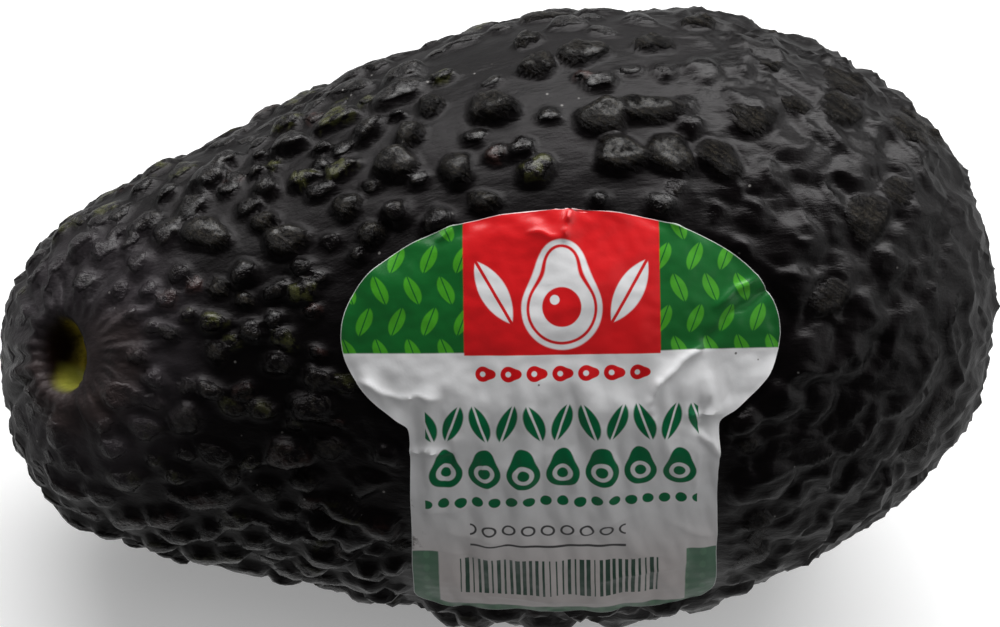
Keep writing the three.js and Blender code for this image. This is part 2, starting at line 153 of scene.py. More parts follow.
# Small warts between the large ones: share of the length, distance between neighbours, width, height
SMALL_ZONES = np.array(
    [
        [0.0, 3.6, 1.5, 0.2],
        [0.12, 3.2, 1.9, 0.42],
        [0.3, 3.3, 2.1, 0.5],
        [0.45, 3.7, 2.1, 0.5],
        [0.6, 3.9, 2.4, 0.5],
        [0.75, 3.7, 2.8, 0.5],
        [1.0, 3.6, 2.8, 0.4],
    ]
)

# The tones that a wart's top can have
DARK, OLIVE, RUSSET, CORK = range(4)

# The label, in its own flat sheet: u to the right, v up from the middle of the oval
LABEL_ALONG = 70.2
LABEL_ROUND = math.radians(-3.6)
LABEL_LEAN = math.radians(5.5)
LABEL_DRIFT = 0.0028
LABEL_HALF_WIDTH = 22.9
LABEL_TOP_HEIGHT = 12.7
TAB_HALF_WIDTH = 15.9
TAB_BOTTOM = -39.5
TAB_CORNER = 4.5

# The square that holds the flat sheet in the label's UV map
SHEET_SIZE = 60.0
SHEET_LEFT = 30.0
SHEET_BELOW = 42.0

# The print on the flat sheet, from the top down
PRINT_EDGE = 0.09
FIELD_BOTTOM = -1.6
LEAF_GRID = (3.4, 3.1)
PANEL_MIDDLE = (-0.1, 10.0)
PANEL_HALF = (10.0, 11.9)
MARK_MIDDLE = (-0.1, 4.4)
MARK_HEIGHT = 12.8
SMALL_ROW, SMALL_SPACING = -3.75, 2.62
LEAF_ROW, LEAF_SPACING = -9.0, 2.8
FRUIT_ROW, FRUIT_SPACING = -14.0, 4.0
DOT_ROW, DOT_SPACING = -18.3, 1.75
RING_ROW, RING_SPACING = -22.2, 2.0
RULE_ROW = -24.55
BAR_ROW, BAR_CELL = -30.6, 0.66

# The camera, in the fruit's own frame before it is laid down
CAMERA_YAW = math.radians(8)
CAMERA_ROLL = math.radians(6.9)
CAMERA_DISTANCE = 450.0
CAMERA_ASIDE = 0.24
CAMERA_RAISE = 0.98
LENS = 147.1

# Colours that no setting changes
DUST = (0.25, 0.24, 0.23)
# Painted shade for the deep part of the stem hollow
HOLLOW_SHADE_PAINT = (0.006, 0.002, 0.0015)
# Film colour for the foot of the tab: painted shade where the film curves under, partly the dark skin
# showing through
SHADED_LOWER_FILM = (0.65, 0.6, 0.59)
BLACK_INK = (0.012, 0.012, 0.014)
BAR_INK = (0.0, 0.05, 0.025)
WORN_INK = (0.025, 0.14, 0.065)
WORN_LEAF = (0.07, 0.24, 0.115)
SMUDGE = (0.05, 0.035, 0.03)
DIRT = (0.03, 0.025, 0.02)

# The place that the lights face, in metres
LIGHT_TARGET = Vector((0, 0, 0.034))

GOLDEN_ANGLE = math.pi * (3 - math.sqrt(5))


def chance(i, k):
    """A repeatable number from 0 to 1 for item i and purpose k."""
    v = math.sin(i * 12.9898 + k * 78.233) * 43758.5453
    return v - math.floor(v)


def smoothstep(start, end, v):
    t = np.clip((v - start) / (end - start), 0, 1)
    return t * t * (3 - 2 * t)


# The smooth body


def make_meridian(steps):
    """One side of the body: the length along the skin, x and the radius."""
    turn = np.linspace(0, math.pi, steps + 1)
    x = -LENGTH / 2 * np.cos(turn)
    r = sum(wave * np.sin((k + 1) * turn) for k, wave in enumerate(GIRTH_WAVES))
    along = np.concatenate([[0], np.cumsum(np.hypot(np.diff(x), np.diff(r)))])
    return along, x, np.maximum(r, 0)


MERIDIAN_ALONG, MERIDIAN_X, MERIDIAN_R = make_meridian(4000)
SKIN_LENGTH = float(MERIDIAN_ALONG[-1])


def radius_at(along):
    return np.interp(along, MERIDIAN_ALONG, MERIDIAN_R)


def body_point(along, turn):
    """Points of the smooth body, in the fruit's own frame."""
    along, turn = np.asarray(along, float), np.asarray(turn, float)
    x = np.interp(along, MERIDIAN_ALONG, MERIDIAN_X)
    share = 2 * x / LENGTH
    lumps = np.sin(2 * turn + 1.1 + 2 * share) + 0.6 * np.sin(3 * turn - 3 * share)
    r = radius_at(along) + LUMP_HEIGHT * lumps * (1 - share**2)
    return np.stack([x, -r * np.cos(turn), r * np.sin(turn) - END_DROOP * share**2], axis=-1)


def unit(v):
    return v / np.linalg.norm(v, axis=-1, keepdims=True)


def body_frame(along, turn):
    """Point, direction along the skin, direction round it and outward direction."""
    inner = np.clip(along, 0.3, SKIN_LENGTH - 0.3)
    ahead = unit(body_point(inner + 0.1, turn) - body_point(inner - 0.1, turn))
    side = unit(body_point(inner, turn + 0.01) - body_point(inner, turn - 0.01))
    return body_point(along, turn), ahead, side, unit(np.cross(ahead, side))


def lay_down_matrix():
    turn = Matrix.Rotation(-SIDE_TURN, 3, "X")
    return np.array(Matrix.Rotation(-NECK_DIP, 3, "Y") @ turn)


LAY_DOWN = lay_down_matrix()


def to_room(points):
    """From the fruit's own frame in millimetres to the room in metres."""
    laid = points @ LAY_DOWN.T
    shift = np.array([-BOX_MIDDLE[0], -BOX_MIDDLE[1], -(BODY_BOTTOM + REST_FLAT_DEPTH)])
    return (laid + shift) * MM


# The label's place on the skin


def label_to_skin(u, v):
    c, s = math.cos(LABEL_LEAN), math.sin(LABEL_LEAN)
    girthwise = -u * s + v * c
    along = LABEL_ALONG + u * c + v * s + LABEL_DRIFT * girthwise**2
    return along, LABEL_ROUND + girthwise / radius_at(along)


def skin_to_label(along, turn):
    turn = np.arctan2(np.sin(turn - LABEL_ROUND), np.cos(turn - LABEL_ROUND))
    girthwise = turn * radius_at(along)
    a = along - LABEL_ALONG - LABEL_DRIFT * girthwise**2
    c, s = math.cos(LABEL_LEAN), math.sin(LABEL_LEAN)
    return a * c - girthwise * s, a * s + girthwise * c


def label_half_width(v):
    """Half the label's width at each height v of its flat sheet."""
    v = np.asarray(v, float)
    oval = LABEL_HALF_WIDTH * np.sqrt(np.clip(1 - (v / LABEL_TOP_HEIGHT) ** 2, 0, 1))
    below_corner = np.clip(TAB_BOTTOM + TAB_CORNER - v, 0, TAB_CORNER)
    tab = TAB_HALF_WIDTH - TAB_CORNER + np.sqrt(TAB_CORNER**2 - below_corner**2)
    joined = 0.5 * (oval + tab + np.sqrt((oval - tab) ** 2 + 0.6))
    return np.where(v > 0, oval, joined)


# The relief of the skin

HOLLOW = body_frame(np.array(HOLLOW_ALONG), np.array(HOLLOW_ROUND))


def from_hollow(points):
    """Distance from the middle of the hollow across its mouth, and the angle round it."""
    middle, ahead, side, out = HOLLOW
    d = points - middle
    a, b = d @ ahead, d @ side
    distance = np.where(d @ out < -16, 99.0, np.hypot(a, b))
    return distance, np.arctan2(b, a)


def in_hollow(points):
    """How far a place lies from the middle of the torn oval in the hollow, in shares of its radius."""
    middle, ahead, side, _ = HOLLOW
    d = points - middle
    a = (d @ ahead - TORN_MIDDLE[0]) / TORN_STRETCH[0]
    b = (d @ side - TORN_MIDDLE[1]) / TORN_STRETCH[1]
    q = np.hypot(a, b) / HOLLOW_RADIUS
    return np.where(from_hollow(points)[0] > 90, 99.0, q)


def rest_clearance(points):
    """0 on the resting flat, rising to 1 on open skin."""
    return smoothstep(0.5, 1.6, (points @ LAY_DOWN.T)[..., 2] - BODY_BOTTOM)


def zone(zones, along, column):
    return float(np.interp(along / SKIN_LENGTH, zones[:, 0], zones[:, column]))


def spread_warts(zones, seed, clear_of):
    """Scatters warts evenly with chance shifts: [along, turn, width, height, stretch, lean, tone]."""
    rows, room, count, step = [], 0.0, 0, 0.25
    row = step / 2
    while row < SKIN_LENGTH:
        spacing = zone(zones, row, 1)
        room += 2 * math.pi * float(radius_at(row)) * step / (0.87 * spacing**2)
        while count < room:
            wart = one_wart(zones, row, spacing, count, seed)
            point = body_point(wart[0], wart[1])
            if 1 <= wart[0] <= SKIN_LENGTH - 0.5 and from_hollow(point)[0] >= HOLLOW_RADIUS + 2.6:
                if clear_of(point, spacing, wart):
                    rows.append(wart)
            count += 1
        row += step
    return rows


def one_wart(zones, row, spacing, i, seed):
    """Wart i of a scatter, near its row."""
    shift = spacing * 0.55
    along = row + shift * (chance(i, seed + 1) - 0.5)
    turn = i * GOLDEN_ANGLE + shift * (chance(i, seed + 2) - 0.5) / max(2.0, float(radius_at(along)))
    width = (0.75 + 0.55 * chance(i, seed + 3)) * zone(zones, along, 2)
    height = (0.6 + 0.7 * chance(i, seed + 4)) * zone(zones, along, 3)
    stretch = 1.05 + 0.45 * chance(i, seed + 5)
    lean = (chance(i, seed + 6) - 0.5) * 1.2
    return [along, turn, width, height, stretch, lean, wart_tone(along, chance(i, seed + 7))]


def wart_tone(along, share):
    """The tone of a scattered wart's top: the blossom end has only dark and corky ones."""
    if along > 80:
        return CORK if share < 0.2 else DARK
    if share < 0.17:
        return OLIVE
    if share < 0.3:
        return RUSSET
    return CORK if share < 0.42 else DARK


def make_warts():
    """The most striking warts, the large ones round them and the small ones between."""
    landmarks = []
    for i, (along, degrees, width, height, stretch, lean) in enumerate(LANDMARK_WARTS):
        tone = CORK if width > 3.3 or i % 3 == 0 else (DARK, OLIVE)[i % 2]
        landmarks.append([along, math.radians(degrees), width, height, stretch, math.radians(lean), tone])
    places, widths = wart_places(landmarks)

    def clear_of_landmarks(point, spacing, wart):
        return np.all(np.linalg.norm(places - point, axis=1) >= 0.62 * (spacing + widths / 2))

    rows = landmarks + spread_warts(WART_ZONES, 0, clear_of_landmarks)
    places, widths = wart_places(rows)

    def clear_of_all(point, spacing, wart):
        sparse = wart[0] > 62 and 0.35 < wart[1] % (2 * math.pi) < 2.2
        if sparse and chance(int(wart[0] * 97), 21) < 0.6:
            return False
        return np.all(np.linalg.norm(places - point, axis=1) >= 0.5 * (widths + wart[2]) * 0.95)

    rows += spread_warts(SMALL_ZONES, 40, clear_of_all)
    return [r for r in rows if bareness(r[0], r[1]) > 0.5]


def wart_places(rows):
    """The points of the body that warts stand on, and their widths."""
    return np.array([body_point(r[0], r[1]) for r in rows]), np.array([r[2] for r in rows])


def bareness(along, turn):
    """0 under the label and on the resting flat, 1 on open skin."""
    u, v = skin_to_label(np.asarray(along, float), np.asarray(turn, float))
    across = abs(u) - label_half_width(v)
    outside = np.maximum(across * 0.85, np.maximum(v - LABEL_TOP_HEIGHT, TAB_BOTTOM - v))
    far_side = np.cos(turn - LABEL_ROUND) < -0.5
    open_skin = np.where(far_side, 1.0, smoothstep(0.5, 1.5, outside))
    return open_skin * rest_clearance(body_point(along, turn))


def wart_profile(q, roundness):
    """How much of its height a wart has at a share q of its radius: a steep button or a round lump."""
    button = np.clip(1 - (q / 1.05) ** 3.4, 0, 1) ** 0.6
    lump = np.clip(1 - (q / 1.1) ** 2.4, 0, 1) ** 0.7
    return button + (lump - button) * roundness


def wart_rise(number, wart, q, angle):
    """How much of its shape a wart has at each place on it, and its height there."""
    along, turn, _, height, _, _, tone = wart
    low_flank = float(smoothstep(-0.25, -0.5, math.sin(turn))) * float(smoothstep(36, 58, along))
    far_end = float(smoothstep(78, 100, along))
    shoulder = float(smoothstep(100, 85, along)) * float(smoothstep(0.85, 0.96, math.sin(turn)))
    shoulder = max(shoulder, float(smoothstep(20, 9, along)))
    share = wart_profile(q, 0.1 if tone else max(far_end, 0.7 * low_flank, 0.25))
    lopsided = 1 + 0.16 * np.clip(q, 0, 1) * np.cos(angle - 1.7 * number)
    return share, height * (1.5 - 0.6 * far_end) * (1 - 0.5 * shoulder) * share * lopsided


def add_warts(points, rows):
    """Relief of all warts over body points, with how far up a wart each point is and which wart it is."""
    order = np.argsort(points[:, 0])
    ordered = points[order]
    total = np.zeros(len(points))
    best = np.zeros(len(points))
    top = np.zeros(len(points))
    owner = np.zeros(len(points), int)
    for number, wart in enumerate(rows):
        along, turn, width, _, stretch, lean, _ = wart
        middle, ahead, side, _ = body_frame(np.array(along), np.array(turn))
        reach = 0.78 * width * max(1.0, stretch)
        first, last = np.searchsorted(ordered[:, 0], [middle[0] - reach, middle[0] + reach])
        d = ordered[first:last] - middle
        near = np.einsum("ij,ij->i", d, d) < reach * reach
        d, where = d[near], order[first:last][near]
        a, b = d @ ahead, d @ side
        c, s = math.cos(lean), math.sin(lean)
        q = np.hypot((a * c + b * s) / stretch, b * c - a * s) / (width / 2)
        angle = np.arctan2(b, a)
        bulges = 0.10 * np.sin(2 * angle + number) + 0.08 * np.sin(3 * angle + 2 * number)
        q *= 1 + bulges + 0.05 * np.sin(5 * angle + number)
        share, rise = wart_rise(number, wart, q, angle)
        total[where] += rise**5
        taller = rise > best[where]
        best[where] = np.maximum(best[where], rise)
        top[where] = np.where(taller, share, top[where])
        owner[where] = np.where(taller, number, owner[where])
    return total**0.2, top, owner


def stem_height(distance, angle):
    """The dished skin round the stem hollow, with its rim, folds and notches."""
    near = 1 - smoothstep(HOLLOW_RADIUS, FOLD_REACH, distance)
    start = smoothstep(HOLLOW_RADIUS, HOLLOW_RADIUS + 2.5, distance)
    wobble = 1.3 * np.sin(2 * angle + 1) + 0.2 * distance
    folds = np.cos(FOLD_COUNT * angle + wobble) * (0.7 + 0.3 * np.sin(3 * angle))
    fine = 0.5 * np.cos(27 * angle + 2.2 * np.sin(3 * angle) + 0.35 * distance)
    rim = RIM_HEIGHT * np.exp(-(((distance - RIM_RADIUS) / 1.6) ** 2))
    dish = DISH_DEPTH * (1 - smoothstep(0, DISH_RADIUS, distance))
    tip = smoothstep(0.3, -0.7, np.cos(angle)) * smoothstep(5.5, 8, distance) * smoothstep(26, 17, distance)
    teeth = (0.5 + 0.5 * np.cos(18 * angle + 3.2)) ** 3 * (0.6 + 0.4 * np.cos(5 * angle + 2.3))
    return FOLD_HEIGHT * near * start * (folds + fine) + rim - dish - NOTCH_DEPTH * tip * teeth


def ripple(points, scale, seed):
    """Soft noise over points, in waves about scale millimetres long."""
    offset = Vector((seed * 7.3, seed * 3.1, seed * 5.7))
    return np.array([noise.noise(Vector(p) / scale + offset) for p in points])


WARTS = make_warts()
TONES = np.array([w[6] for w in WARTS])


def skin_relief(along, turn):
    """Everything that stands on the smooth body: height outward, depth of the hollow, and masks."""
    point, _, _, out = body_frame(along, turn)
    distance, angle = from_hollow(point)
    warts, top, owner = add_warts(point, WARTS)
    low_side = smoothstep(-0.1, -0.5, np.sin(turn)) * smoothstep(36, 58, along)
    soft_end = np.maximum(smoothstep(78, 100, along), 0.8 * low_side)
    crests = (1 - abs(ripple(point, 4.6, 4))) ** 7 + 0.5 * (1 - abs(ripple(point, 2.6, 5))) ** 8
    height = (warts + CREST_HEIGHT * soft_end * crests) * bareness(along, turn)
    height += stem_height(distance, angle)
    hollow = 1 - smoothstep(0.45, 1.0, in_hollow(point))
    # The tones of the wart tops fade to 0.3 of their strength on the lower side of the fruit: painted shade
    crown = smoothstep(0.5, 0.95, top) * (0.3 + 0.7 * smoothstep(-0.35, 0.3, np.sin(turn)))
    tone = TONES[owner]
    masks = {
        "wart": top * (1 - 0.8 * soft_end),
        "polish": soft_end,
        "olive": crown * (tone == OLIVE),
        "russet": crown * (tone == RUSSET),
        "cork": crown * (tone == CORK),
        "hollow": hollow,
        "collar": 1 - smoothstep(HOLLOW_RADIUS, HOLLOW_RADIUS + 15, distance),
    }
    return point, out, height, hollow, masks


# Small helpers for Blender


def only(obj):
    """Makes obj the one selected and active object."""
    bpy.ops.object.select_all(action="DESELECT")
    obj.select_set(True)
    bpy.context.view_layer.objects.active = obj


def set_points(mesh, points):
    mesh.vertices.foreach_set("co", np.asarray(points, np.float32).ravel())
    mesh.update()


def keep_inside(points, low, high):
    """Presses points softly into a box, and down onto the floor where the floor cuts them off."""
    soft = 0.0006
    over = np.maximum(points - (high - soft), 0)
    points = points - over + soft * np.tanh(over / soft)
    under = np.maximum((low + soft) - points, 0)
    pressed = points + under - soft * np.tanh(under / soft)
    pressed[:, 2] = np.maximum(points[:, 2], low[2])
    return pressed


def get_points(mesh):
    flat = np.zeros(len(mesh.vertices) * 3, np.float32)
    mesh.vertices.foreach_get("co", flat)
    return flat.reshape(-1, 3).astype(float)


def set_mask(mesh, name, values):
    attribute = mesh.attributes.new(name, "FLOAT", "POINT")
    attribute.data.foreach_set("value", np.asarray(values, np.float32))


class Wire:
    """A shader socket that sums, products and comparisons can be written on."""

    def __init__(self, material, socket):
        self.material = material
        self.socket = socket

    def math(self, operation, *others):
        return self.material.math(operation, self, *others)

    def __add__(self, other):
        return self.math("ADD", other)

    def __mul__(self, other):
        return self.math("MULTIPLY", other)

    __radd__ = __add__
    __rmul__ = __mul__

    def __sub__(self, other):
        return self.math("SUBTRACT", other)

    def __rsub__(self, other):
        return self.material.math("SUBTRACT", other, self)

    def __truediv__(self, other):
        return self.math("DIVIDE", other)

    def __rtruediv__(self, other):
        return self.material.math("DIVIDE", other, self)

    def __pow__(self, other):
        return self.math("POWER", other)

    def __rpow__(self, other):
        return self.material.math("POWER", other, self)

    def __abs__(self):
        return self.math("ABSOLUTE")

    def least(self, other):
        return self.math("MINIMUM", other)

    def most(self, other):
        return self.math("MAXIMUM", other)

    def step(self, start, end):
        """A soft step from 0 at start to 1 at end."""
        soft = {"interpolation_type": "SMOOTHSTEP"}
        inputs = {"Value": self, "From Min": start, "From Max": end}
        return self.material.node("ShaderNodeMapRange", soft, inputs)["Result"]


class Shader:
    """A material whose nodes are made by code."""

    def __init__(self, name):
        self.material = bpy.data.materials.new(name)
        self.material.use_nodes = True
        self.tree = self.material.node_tree
        self.surface = self.tree.nodes["Principled BSDF"]

    def feed(self, socket, value):
        if isinstance(value, Wire):
            self.tree.links.new(value.socket, socket)
        else:
            socket.default_value = value

    def node(self, kind, settings=None, inputs=None):
        """Adds a node: settings first, then the values or links of its sockets by name or place."""
        made = self.tree.nodes.new(kind)
        for name, value in (settings or {}).items():
            setattr(made, name, value)
        for name, value in (inputs or {}).items():
            self.feed(made.inputs[name], value)
        return {o.name: Wire(self, o) for o in made.outputs if o.enabled}

    def math(self, operation, *values):
        return self.node("ShaderNodeMath", {"operation": operation}, dict(enumerate(values)))["Value"]

    def vector_math(self, operation, *values, result="Vector"):
        made = self.node("ShaderNodeVectorMath", {"operation": operation}, dict(enumerate(values)))
        return made[result]

    def blend(self, share, first, second):
        """Goes from the first colour to the second as share goes from 0 to 1."""
        first, second = (c if isinstance(c, Wire) else (*c, 1.0) for c in (first, second))
        return self.node("ShaderNodeMix", {"data_type": "RGBA"}, {0: share, 6: first, 7: second})["Result"]

    def attribute(self, name):
        return self.node("ShaderNodeAttribute", {"attribute_name": name})["Fac"]

    def place(self, scale=(1, 1, 1), turn=(0, 0, 0)):
        inputs = {"Vector": self.node("ShaderNodeTexCoord")["Object"], "Scale": scale, "Rotation": turn}
        return self.node("ShaderNodeMapping", {}, inputs)["Vector"]

    def noise(self, vector, scale, detail=2.0, roughness=0.5):
        inputs = {"Vector": vector, "Scale": scale, "Detail": detail, "Roughness": roughness}
        return self.node("ShaderNodeTexNoise", {}, inputs)["Fac"]

    def cells(self, vector, scale, feature="F1"):
        inputs = {"Vector": vector, "Scale": scale}
        return self.node("ShaderNodeTexVoronoi", {"feature": feature}, inputs)["Distance"]

    def bump(self, height, distance, strength=1.0, under=None):
        """Raises the surface by a height, on top of the bumps under it."""
        inputs = {"Height": height, "Distance": distance, "Strength": strength}
        if under is not None:
            inputs["Normal"] = under
        return self.node("ShaderNodeBump", {}, inputs)["Normal"]

    def finish(self, inputs):
        for name, value in inputs.items():
            self.feed(self.surface.inputs[name], value)
        return self.material


def colour(name, description, default):
    """A setting that holds a colour."""
    span = {"min": 0, "max": 1}
    return FloatVectorProperty(name=name, description=description, subtype="COLOR", default=default, **span)


def amount(name, description, default, **limits):
    """A setting that holds a number."""
    return FloatProperty(name=name, description=description, default=default, **limits)


def whole(name, description, default, **limits):
    """A setting that holds a whole number."""
    return IntProperty(name=name, description=description, default=default, **limits)


# The skin


class AvocadoSkinSettings(bpy.types.PropertyGroup):
    cells: whole("Cells", "Rows of faces on each side of the starting cube", 127, min=15, max=127)
    grain: amount("Grain", "Height of the soft unevenness of the skin", 0.00011, unit="LENGTH")
    skin: colour("Skin", "Colour of the ripe skin", (0.0021, 0.0016, 0.0018))
    cork: colour("Cork", "Colour of the dry tops of the warts", (0.034, 0.029, 0.021))
    olive: colour("Olive", "Colour of the wart tops that have stayed green", (0.042, 0.044, 0.012))
    russet: colour("Russet", "Colour of the reddish wart tops", (0.03, 0.014, 0.012))
    bloom: colour("Bloom", "Colour of the greyish bloom at the stem end", (0.03, 0.026, 0.029))
    collar: colour("Collar", "Colour of the skin round the stem hollow", (0.055, 0.038, 0.034))
    shine: amount("Shine", "Shine of the skin seen straight on", 0.08, min=0, max=1)
    glints: amount("Glints", "Shine of the wart tops", 0.3, min=0, max=1)
    flesh: colour("Flesh", "Colour of the torn flesh in the stem hollow", (0.3, 0.3, 0.045))
    # The dried flesh is made lighter than it is: partly its own colour, partly painted light in the shaded
    # hollow
    lit_dry_flesh: colour("Dry flesh", "Colour of the dried flesh higher up in the hollow", (0.36, 0.29, 0.035))


def stem_place(m):
    """Where a place lies across the stem hollow, in millimetres: ahead, sideways."""
    middle, ahead, side, _ = HOLLOW
    where = m.node("ShaderNodeTexCoord")["Object"]
    offset = m.vector_math("SUBTRACT", where, tuple(to_room(middle)))
    axes = (tuple(LAY_DOWN @ axis / MM) for axis in (ahead, side))
    return [m.vector_math("DOT_PRODUCT", offset, axis, result="Value") for axis in axes]


def flesh_colour(m, s, patchy, ahead, sideways):
    """The torn flesh: painted shade in the deep part, dried flesh higher up, made lighter as painted light
    where the hollow is shaded, and fresh flesh along the low edge.
    """
    torn = (0.4 + 0.6 * patchy.step(0.35, 0.6)) * (ahead - 0.4 * sideways).step(-4.2, -1.8)
    flesh = m.blend(torn, HOLLOW_SHADE_PAINT, tuple(s.lit_dry_flesh))
    low = (sideways + 0.5 * ahead + 0.5 * (patchy - 0.5)).step(-1.4, -2.6) * ahead.step(-4.3, -3.2)
    return m.blend(low, flesh, tuple(s.flesh))


def skin_wrinkles(ahead, sideways, mottle):
    """Fine wrinkles that run outward from the stem hollow."""
    wrinkles = (sideways.math("ARCTAN2", ahead) * 26 + 14 * (mottle - 0.5)).math("SINE")
    reach = (ahead * ahead + sideways * sideways) ** 0.5
    return wrinkles * (reach.step(15, 5) * reach.step(3.5, 5))


def skin_material(s):
    """The skin: its ground colour, the tones of the wart tops, the stem end, dust, and the flesh with
    painted shade in the hollow.
    """
    m = Shader("ripe_skin")
    wart, cork, collar = (m.attribute(name) for name in ("wart", "cork", "collar"))
    plain = m.place()
    streaky = m.place(scale=(0.22, 1, 1), turn=(0, -NECK_DIP, 0))
    mottle = m.noise(plain, 160, 4, 0.6)
    streaks = m.noise(streaky, 1700, 3, 0.6)
    grain = m.noise(plain, 2600, 3, 0.65)
    cracks = m.noise(plain, 3000, 5, 0.75)
    facets = m.noise(plain, 1100, 3, 0.65)
    patchy = m.noise(plain, 700, 3, 0.6)
    slant = m.vector_math("DOT_PRODUCT", plain, (1 / 3, 1 / 3, 1 / 3), result="Value")
    crackle = m.cells(slant + (cracks - 0.5) * 0.0006, 1500, "DISTANCE_TO_EDGE").step(0.0, 0.11)
    crown = wart.step(0.6, 0.95)
    ahead, sideways = stem_place(m)

    skin = m.blend(mottle.step(0.3, 0.75), tuple(c * 0.7 for c in s.skin), tuple(c * 1.4 for c in s.skin))
    skin = m.blend(crown * facets.step(0.48, 0.62) * 0.2, skin, tuple(s.cork))
    # The cork, olive and russet masks carry painted shade that weakens them on the lower side
    dry = cork * patchy.step(0.3, 0.6) * cracks.step(0.4, 0.58) * (0.3 + 0.7 * crackle)
    skin = m.blend(dry, skin, tuple(s.cork))
    skin = m.blend(m.attribute("olive") * patchy.step(0.45, 0.62), skin, tuple(s.olive))
    skin = m.blend(m.attribute("russet") * patchy.step(0.42, 0.6), skin, tuple(s.russet))
    bloomed = collar.step(0.0, 0.8) * (0.45 + 0.55 * mottle.step(0.35, 0.6))
    skin = m.blend(bloomed, skin, tuple(s.bloom))
    ringed = collar.step(0.7, 1.0) * (0.2 + 0.8 * mottle.step(0.35, 0.7)) * sideways.step(6, -3)
    skin = m.blend(ringed, skin, tuple(s.collar))
    fleck = m.cells(plain, 420).step(0.08, 0.04) * m.noise(plain, 90, 1).step(0.52, 0.6)
    skin = m.blend(fleck * 0.6, skin, DUST)
    flesh = flesh_colour(m, s, patchy, ahead, sideways)
    skin = m.blend(m.attribute("hollow").step(0.05, 0.5), skin, flesh)

    rough = 0.46 + 0.14 * (mottle - 0.5) + 0.12 * (streaks - 0.5) - 0.18 * wart.step(0.15, 0.6)
    rough = rough - 0.14 * m.attribute("polish")
    normal = m.bump(streaks, 0.00011, 0.7)
    normal = m.bump(grain, 0.00005, 0.6, normal)
    normal = m.bump(skin_wrinkles(ahead, sideways, mottle), 0.0001, 0.7, normal)
    normal = m.bump(facets * crown, 0.0006, 0.8, normal)
    normal = m.bump((cracks + 0.5 * crackle) * cork, 0.0006, 1.0, normal)
    gloss = {
        "Specular IOR Level": 0.45,
        "Specular Tint": (s.shine, 0.9 * s.shine, 0.93 * s.shine, 1),
        "Coat Weight": crown * patchy.step(0.35, 0.6) * (0.35 + 0.65 * facets.step(0.4, 0.6)) * s.glints,
        "Coat Roughness": 0.14,
    }
    return m.finish({"Base Color": skin, "Roughness": rough, "Normal": normal, **gloss})


class AVOCADO_OT_skin(bpy.types.Operator):
    """Model the whole fruit: warty skin, folds round the stem and the stem hollow"""

    bl_idname = "avocado.skin"
    bl_label = "Fruit"

    def execute(self, context):
        s = context.scene.avocado_skin
        bpy.ops.object.select_all(action="DESELECT")
        bpy.ops.mesh.primitive_cube_add(size=2)
        fruit = context.object
        fruit.name = fruit.data.name = "avocado_skin"
        bpy.ops.object.mode_set(mode="EDIT")
        bpy.ops.mesh.select_all(action="SELECT")
        bpy.ops.mesh.subdivide(number_cuts=s.cells)
        bpy.ops.object.mode_set(mode="OBJECT")
        along, turn = self.spread(get_points(fruit.data))
        point, out, height, hollow, masks = skin_relief(along, turn)
        streaked = point * np.array([0.5, 1, 1])
        soft = ripple(streaked, 2.2, 1) + 0.6 * ripple(point, 1.1, 2) + 1.5 * ripple(point, 7.0, 3)
        height += soft * s.grain / MM * (1 + 2.2 * masks["wart"]) * rest_clearance(point)
        surface = point + out * height[:, None] - HOLLOW[3] * (HOLLOW_DEPTH * hollow)[:, None]
        low, high = (np.array(corner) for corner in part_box("avocado"))
        set_points(fruit.data, keep_inside(to_room(surface), low, high))
        for name, values in masks.items():
            set_mask(fruit.data, name, values)
        bpy.ops.object.shade_smooth()
        fruit.data.materials.append(skin_material(s))
        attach(fruit, "root")
        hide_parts("avocado")
        return {"FINISHED"}

    @staticmethod
    def spread(cube):
        """Spreads the cube's points over the fruit, closer together on the side with the label."""
        ball = unit(unit(np.tan(cube * math.pi / 4)) + np.array([0, -0.2, 0.07]))
        along = np.arccos(np.clip(-ball[:, 0], -1, 1)) / math.pi * SKIN_LENGTH
        return along, np.arctan2(ball[:, 2], -ball[:, 1])


# The label


class AvocadoLabelSettings(bpy.types.PropertyGroup):
    thickness: amount("Thickness", "Thickness of the film", 0.00014, unit="LENGTH")
    rows: whole("Rows", "Rows of faces down the label", 230, min=20)
    columns: whole("Columns", "Columns of faces across the label", 180, min=20)
    film: colour("Film", "Colour of the bare film", (0.76, 0.76, 0.77))
    leaf: colour("Leaf green", "Colour of the green field", (0.0, 0.105, 0.013))
    lime: colour("Lime", "Colour of the small leaves on the green field", (0.055, 0.33, 0.01))
    red: colour("Red", "Colour of the red panel", (0.62, 0.003, 0.006))
    ink: colour("Green ink", "Colour of the printed rows", (0.0, 0.135, 0.047))


